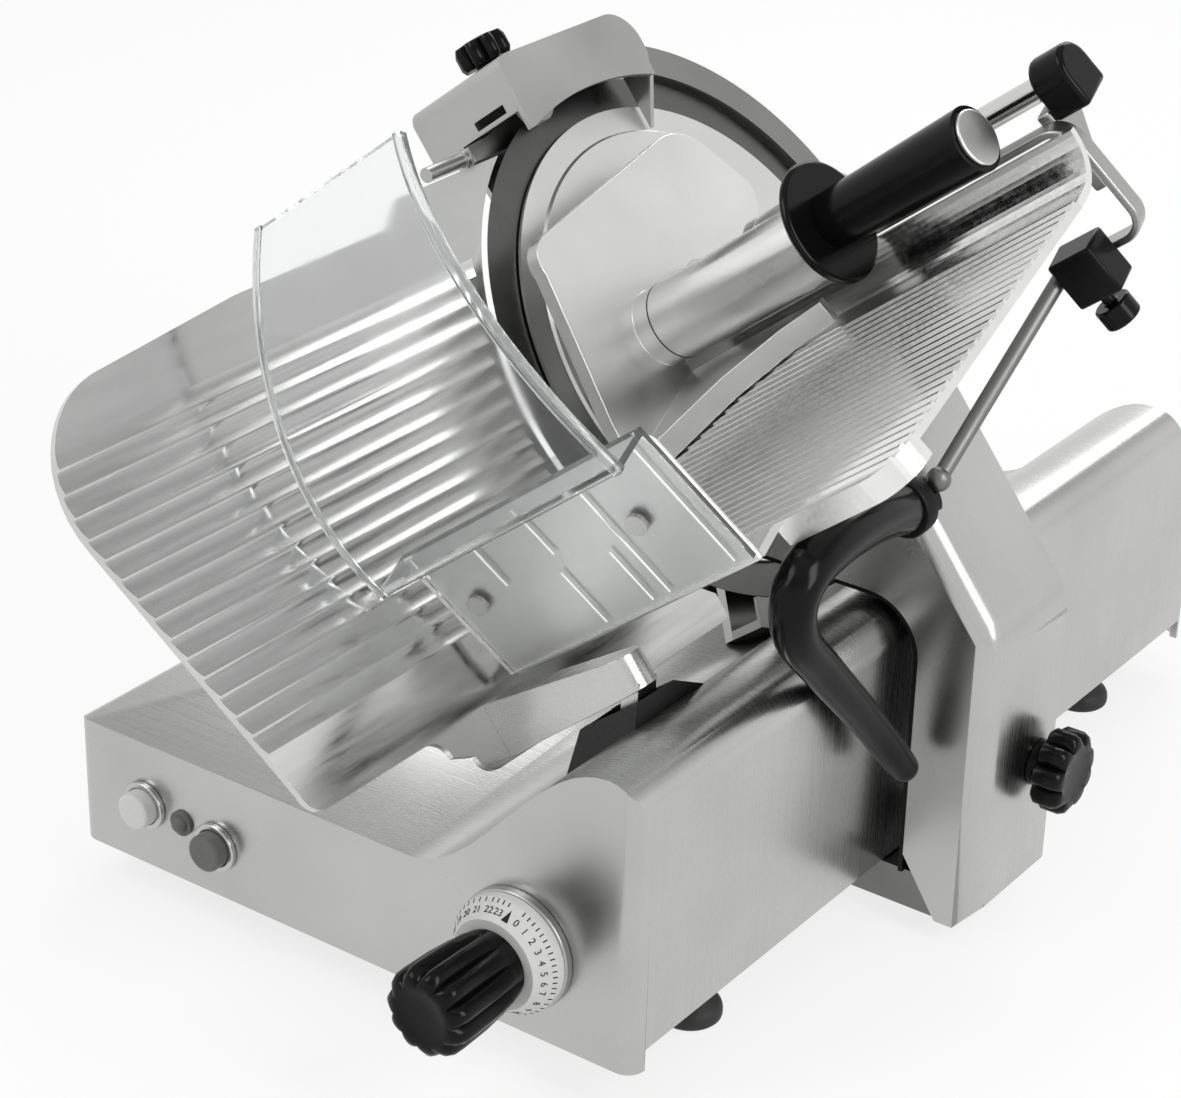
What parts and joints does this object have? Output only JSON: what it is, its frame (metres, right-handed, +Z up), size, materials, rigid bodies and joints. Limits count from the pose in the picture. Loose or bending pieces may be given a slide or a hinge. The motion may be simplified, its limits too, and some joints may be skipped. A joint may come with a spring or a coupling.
{
  "type": "food slicer",
  "caption": "Gravity-feed food slicer: tilted round blade, ribbed gauge plate, hand-pushed ribbed carriage with clear guard and pusher, numbered thickness knob, push buttons.",
  "frame": {"origin": "middle of the base footprint, on the table the feet rest on", "axes": "+Z up, controls face -Y, the carriage travels along Y and its foot is on the +X side"},
  "size_m": [0.5279, 0.817, 0.5382],
  "materials": {
    "cast_satin": "satin",
    "steel": "satin",
    "grey_cast": "satin",
    "black_gloss": "glossy",
    "rubber_black": "matte",
    "clear_plastic": "glossy",
    "button_pale": "satin",
    "button_grey": "satin",
    "stone": "matte"
  },
  "bodies": {
    "frame": {"base_housing": "cast_satin", "underside_cover": "grey_cast", "rubber_feet": "rubber_black", "inlet_gland": "rubber_black", "off_bezel": "steel", "on_bezel": "steel", "indicator_lamp": "button_grey", "dial_bezel": "cast_satin", "gauge_rails": "cast_satin", "rubber_boot": "rubber_black", "motor": "grey_cast", "drive_belt": "rubber_black", "blade_housing": "cast_satin", "blade_cover": "steel", "ring_guard": "cast_satin", "deflector_spout": "cast_satin", "sharpener_hood": "cast_satin", "sharpener_stones": "stone", "guide_rods": "steel"},
    "off_push": {"off_button": "button_pale"},
    "on_push": {"on_button": "button_grey"},
    "dial": {"numbered_dial": "button_pale", "thickness_knob": "black_gloss", "gauge_cam": "steel"},
    "gauge": {"gauge_plate": "cast_satin", "gauge_bracket": "cast_satin"},
    "rotor": {"motor_pulley": "steel"},
    "blade_group": {"blade": "steel", "blade_spindle": "steel", "blade_pulley": "steel"},
    "sharpener": {"sharpener_knob": "black_gloss"},
    "carriage": {"slide_block": "cast_satin", "foot_cover": "cast_satin", "foot_liner": "black_gloss", "push_handle": "black_gloss", "tray_floor": "steel", "tray_front_wall": "steel", "tray_rim": "cast_satin", "floor_stay": "steel", "clear_guard": "clear_plastic", "guard_screws": "steel", "pusher_rod": "steel", "rod_block": "black_gloss", "rod_bracket": "grey_cast", "clamp_block": "black_gloss"},
    "lock": {"lock_knob": "black_gloss"},
    "thumb": {"thumb_screw": "black_gloss"},
    "sleeve": {"pusher_sleeve": "steel"},
    "pusher": {"pusher_plate": "cast_satin", "pusher_pins": "steel", "grip_disc": "black_gloss", "pusher_grip": "black_gloss", "grip_cap": "steel"}
  },
  "joints": [
    {"name": "carriage_slide", "type": "slide", "parent": "frame", "child": "carriage", "axis": [0, 1, 0], "range_m": [-0.11, 0.195]},
    {"name": "lock_knob_turn", "type": "hinge", "parent": "carriage", "child": "lock", "pos_m": [0.28, -0.01, 0.106], "axis": [1, 0, 0], "range_deg": [0, 180]},
    {"name": "pusher_slide", "type": "slide", "parent": "carriage", "child": "sleeve", "axis": [0.788, 0, 0.6157], "range_m": [0, 0.14]},
    {"name": "pusher_swing", "type": "hinge", "parent": "sleeve", "child": "pusher", "pos_m": [0.02219, 0.05443, 0.36111], "axis": [0.788, 0, 0.6157], "range_deg": [-75, 0]},
    {"name": "thumb_screw_turn", "type": "hinge", "parent": "carriage", "child": "thumb", "pos_m": [0.26178, 0.05289, 0.39229], "axis": [-0.5785, -0.342, 0.7405], "range_deg": [0, 180]},
    {"name": "dial_turn", "type": "hinge", "parent": "frame", "child": "dial", "pos_m": [0.132, -0.35, 0.084], "axis": [0, -1, 0], "range_deg": [0, 330]},
    {"name": "gauge_slide", "type": "slide", "parent": "frame", "child": "gauge", "axis": [0.788, 0, 0.6157], "range_m": [-0.023, 0]},
    {"name": "blade_spin", "type": "hinge", "parent": "frame", "child": "blade_group", "pos_m": [-0.039, 0.084, 0.277], "axis": [0.788, 0, 0.6157], "continuous": true},
    {"name": "motor_spin", "type": "hinge", "parent": "frame", "child": "rotor", "pos_m": [0.10876, 0.084, 0.08788], "axis": [0.788, 0, 0.6157], "continuous": true},
    {"name": "off_press", "type": "slide", "parent": "frame", "child": "off_push", "axis": [0, 1, 0], "range_m": [0, 0.003], "stiffness_N_per_m": 600},
    {"name": "on_press", "type": "slide", "parent": "frame", "child": "on_push", "axis": [0, 1, 0], "range_m": [0, 0.003], "stiffness_N_per_m": 600},
    {"name": "sharpener_knob_turn", "type": "hinge", "parent": "frame", "child": "sharpener", "pos_m": [-0.18363, 0.038, 0.43938], "axis": [-0.6157, 0, 0.788], "range_deg": [0, 180]}
  ],
  "couplings": [
    {"joint": "dial_turn", "follows": "gauge_slide", "rad_per_m": -250.42},
    {"joint": "motor_spin", "follows": "blade_spin", "ratio": 2.5333}
  ]
}
